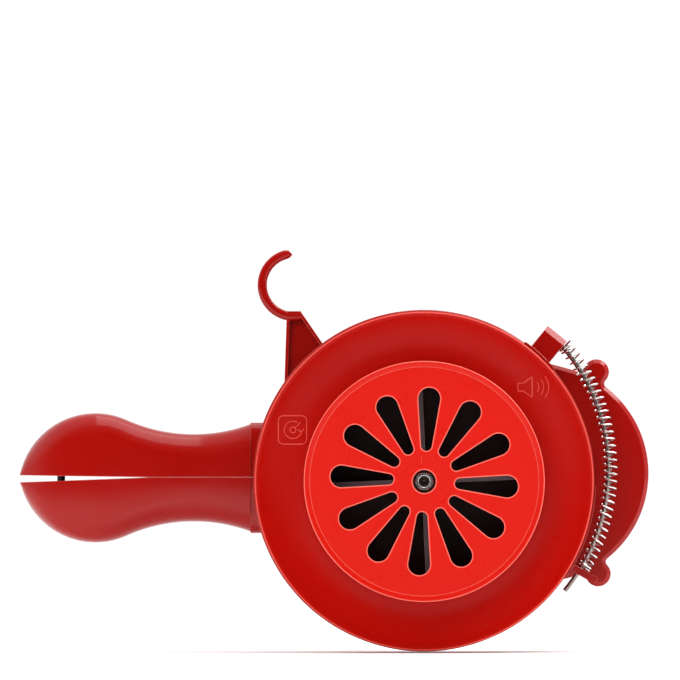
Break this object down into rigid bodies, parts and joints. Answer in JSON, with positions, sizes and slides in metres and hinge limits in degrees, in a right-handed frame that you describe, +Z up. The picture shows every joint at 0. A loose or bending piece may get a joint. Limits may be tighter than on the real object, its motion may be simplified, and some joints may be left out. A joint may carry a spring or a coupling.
{
  "type": "hand crank siren",
  "caption": "Hand-held crank siren: round slotted intake, ported drum with a spring-returned shutter ring, waisted grip, hook and geared crank behind.",
  "frame": {"origin": "on the rotor axis, at the middle of the front rim's cylindrical edge", "axes": "+X away from the grip, -Y out of the front face, +Z up towards the carrying hook"},
  "size_m": [0.2843, 0.1786, 0.1814],
  "materials": {
    "cap_red": "gloss",
    "shell_red": "gloss",
    "black_plastic": "satin",
    "nylon": "satin",
    "bright_steel": "polished",
    "black_steel": "satin",
    "bronze": "satin"
  },
  "bodies": {
    "housing": {"front_grille": "cap_red", "front_housing": "shell_red", "rear_plate": "shell_red", "gear_case": "shell_red", "gear_cover": "shell_red", "grip_upper": "shell_red", "grip_lower": "shell_red", "strap_pin": "black_steel", "hook_bracket": "shell_red", "bearing_front": "bright_steel", "bearing_rear": "bright_steel", "axle_bush_front": "bronze", "axle_bush_rear": "bronze", "idler_bush_front": "bronze", "idler_bush_rear": "bronze", "return_spring": "bright_steel"},
    "rotor": {"rotor": "black_plastic", "rotor_back": "black_plastic", "rotor_hub": "black_plastic", "rotor_vane_1": "black_plastic", "rotor_vane_2": "black_plastic", "rotor_vane_3": "black_plastic", "rotor_vane_4": "black_plastic", "rotor_shaft": "bright_steel", "rotor_nut": "bright_steel", "rotor_washer": "bright_steel", "rotor_pinion": "nylon", "shaft_clip": "bright_steel"},
    "idler": {"idler_shaft": "bright_steel", "idler_gear": "nylon", "idler_pinion": "nylon"},
    "crank": {"crank_axle": "bright_steel", "main_gear": "nylon", "gear_key": "bright_steel", "crank_arm": "bright_steel", "axle_washer": "bright_steel", "crank_nut": "bright_steel", "knob_bolt": "bright_steel"},
    "knob": {"crank_knob": "black_plastic"},
    "shutter": {"shutter_ring": "shell_red", "shutter_lever": "shell_red", "lever_rod": "black_steel"}
  },
  "joints": [
    {"name": "crank_turn", "type": "hinge", "parent": "housing", "child": "crank", "pos_m": [0.0526, 0.07, 0.0033], "axis": [0, 1, 0], "continuous": true},
    {"name": "idler_spin", "type": "hinge", "parent": "housing", "child": "idler", "pos_m": [0.00856, 0.066, 0.03187], "axis": [0, 1, 0], "continuous": true},
    {"name": "rotor_spin", "type": "hinge", "parent": "housing", "child": "rotor", "pos_m": [0, 0.042, 0], "axis": [0, 1, 0], "continuous": true},
    {"name": "knob_spin", "type": "hinge", "parent": "crank", "child": "knob", "pos_m": [-0.0324, 0.129, 0.0033], "axis": [0, 1, 0], "continuous": true},
    {"name": "shutter_turn", "type": "hinge", "parent": "housing", "child": "shutter", "pos_m": [0, 0.025, 0], "axis": [0, 1, 0], "range_deg": [0, 15], "stiffness_Nm_per_rad": 1.6, "springref_deg": -2.86, "deforming": ["return_spring"]}
  ],
  "couplings": [
    {"joint": "idler_spin", "follows": "crank_turn", "ratio": -5},
    {"joint": "rotor_spin", "follows": "crank_turn", "ratio": 22.5}
  ]
}
